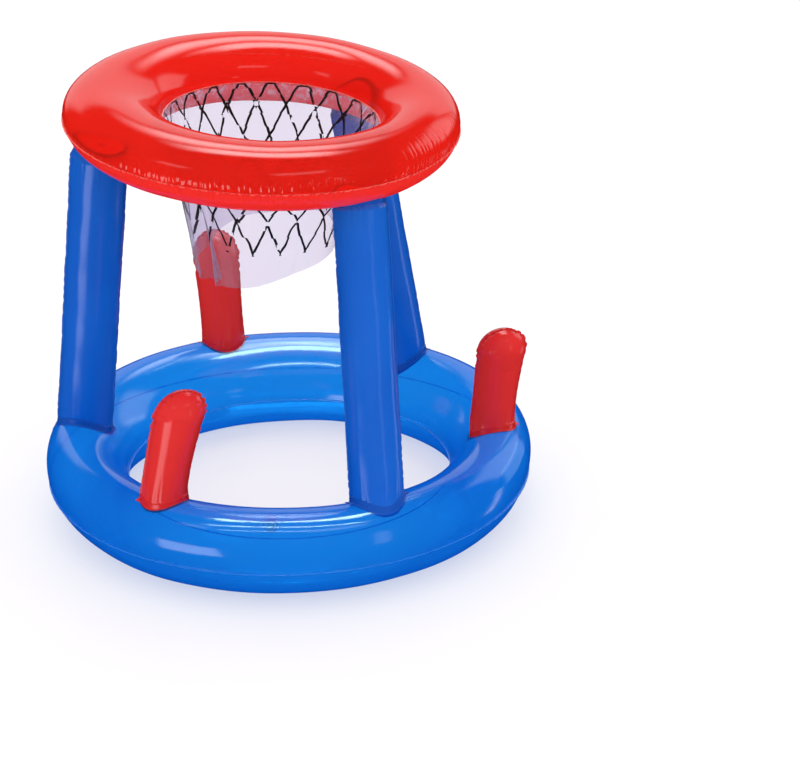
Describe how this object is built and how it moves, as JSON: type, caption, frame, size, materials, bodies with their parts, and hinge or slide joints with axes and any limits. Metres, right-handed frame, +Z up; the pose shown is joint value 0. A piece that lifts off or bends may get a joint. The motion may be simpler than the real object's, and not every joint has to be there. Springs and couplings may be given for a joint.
{
  "type": "inflatable pool basketball hoop",
  "caption": "Blown vinyl base ring with upright pegs and three pillars that carry a soft hoop ring with a clear film net.",
  "frame": {"origin": "on the ground, midway between the front of the base ring and the tip of the back peg, which is 20 mm behind the middle of the base ring", "axes": "+Z up; -Y towards the front pillar; the right and left pillars stand at 30 and 150 degrees from +X"},
  "size_m": [0.6628, 0.7011, 0.6077],
  "materials": {
    "base_vinyl": "clear blue calendered vinyl, gloss",
    "pillar_vinyl": "deep blue vinyl, gloss",
    "hoop_vinyl": "clear red calendered vinyl, gloss",
    "peg_vinyl": "dark red vinyl, gloss",
    "weld_blue": "doubled and pressed blue vinyl",
    "weld_red": "doubled and pressed red vinyl",
    "clear_film": "clear film with a printed black net",
    "valve_vinyl": "clear soft moulded vinyl"
  },
  "bodies": {
    "float": {"base_ring_upper_sheet": "base_vinyl", "base_ring_lower_sheet": "base_vinyl", "hoop_ring_upper_sheet": "hoop_vinyl", "hoop_ring_lower_sheet": "hoop_vinyl", "pillar_front_panel_a": "pillar_vinyl", "pillar_front_panel_b": "pillar_vinyl", "pillar_right_panel_a": "pillar_vinyl", "pillar_right_panel_b": "pillar_vinyl", "pillar_left_panel_a": "pillar_vinyl", "pillar_left_panel_b": "pillar_vinyl", "pillar_front_foot_weld": "weld_blue", "pillar_right_foot_weld": "weld_blue", "pillar_left_foot_weld": "weld_blue", "pillar_front_head_weld": "weld_blue", "pillar_right_head_weld": "weld_blue", "pillar_left_head_weld": "weld_blue", "peg_right_panel_a": "peg_vinyl", "peg_right_panel_b": "peg_vinyl", "peg_back_panel_a": "peg_vinyl", "peg_back_panel_b": "peg_vinyl", "peg_left_panel_a": "peg_vinyl", "peg_left_panel_b": "peg_vinyl", "peg_right_foot_weld": "weld_red", "peg_back_foot_weld": "weld_red", "peg_left_foot_weld": "weld_red", "net_film": "clear_film", "valve_flange": "valve_vinyl"},
    "valve_stem": {"valve_stem": "valve_vinyl", "valve_strap": "valve_vinyl"},
    "valve_plug": {"valve_plug": "valve_vinyl"},
    "valve_flap": {"valve_flap": "valve_vinyl"}
  },
  "joints": [
    {"name": "valve_stem_push", "type": "slide", "parent": "float", "child": "valve_stem", "axis": [-0.4755, -0.8236, -0.3091], "range_m": [0, 0.0095]},
    {"name": "valve_plug_pull", "type": "slide", "parent": "valve_stem", "child": "valve_plug", "axis": [0.4755, 0.8236, 0.3091], "range_m": [0, 0.009]},
    {"name": "valve_flap_swing", "type": "hinge", "parent": "valve_stem", "child": "valve_flap", "pos_m": [-0.11968, -0.21919, 0.06806], "axis": [0.1546, 0.2677, -0.951], "range_deg": [0, 60], "stiffness_Nm_per_rad": 0.0005}
  ]
}
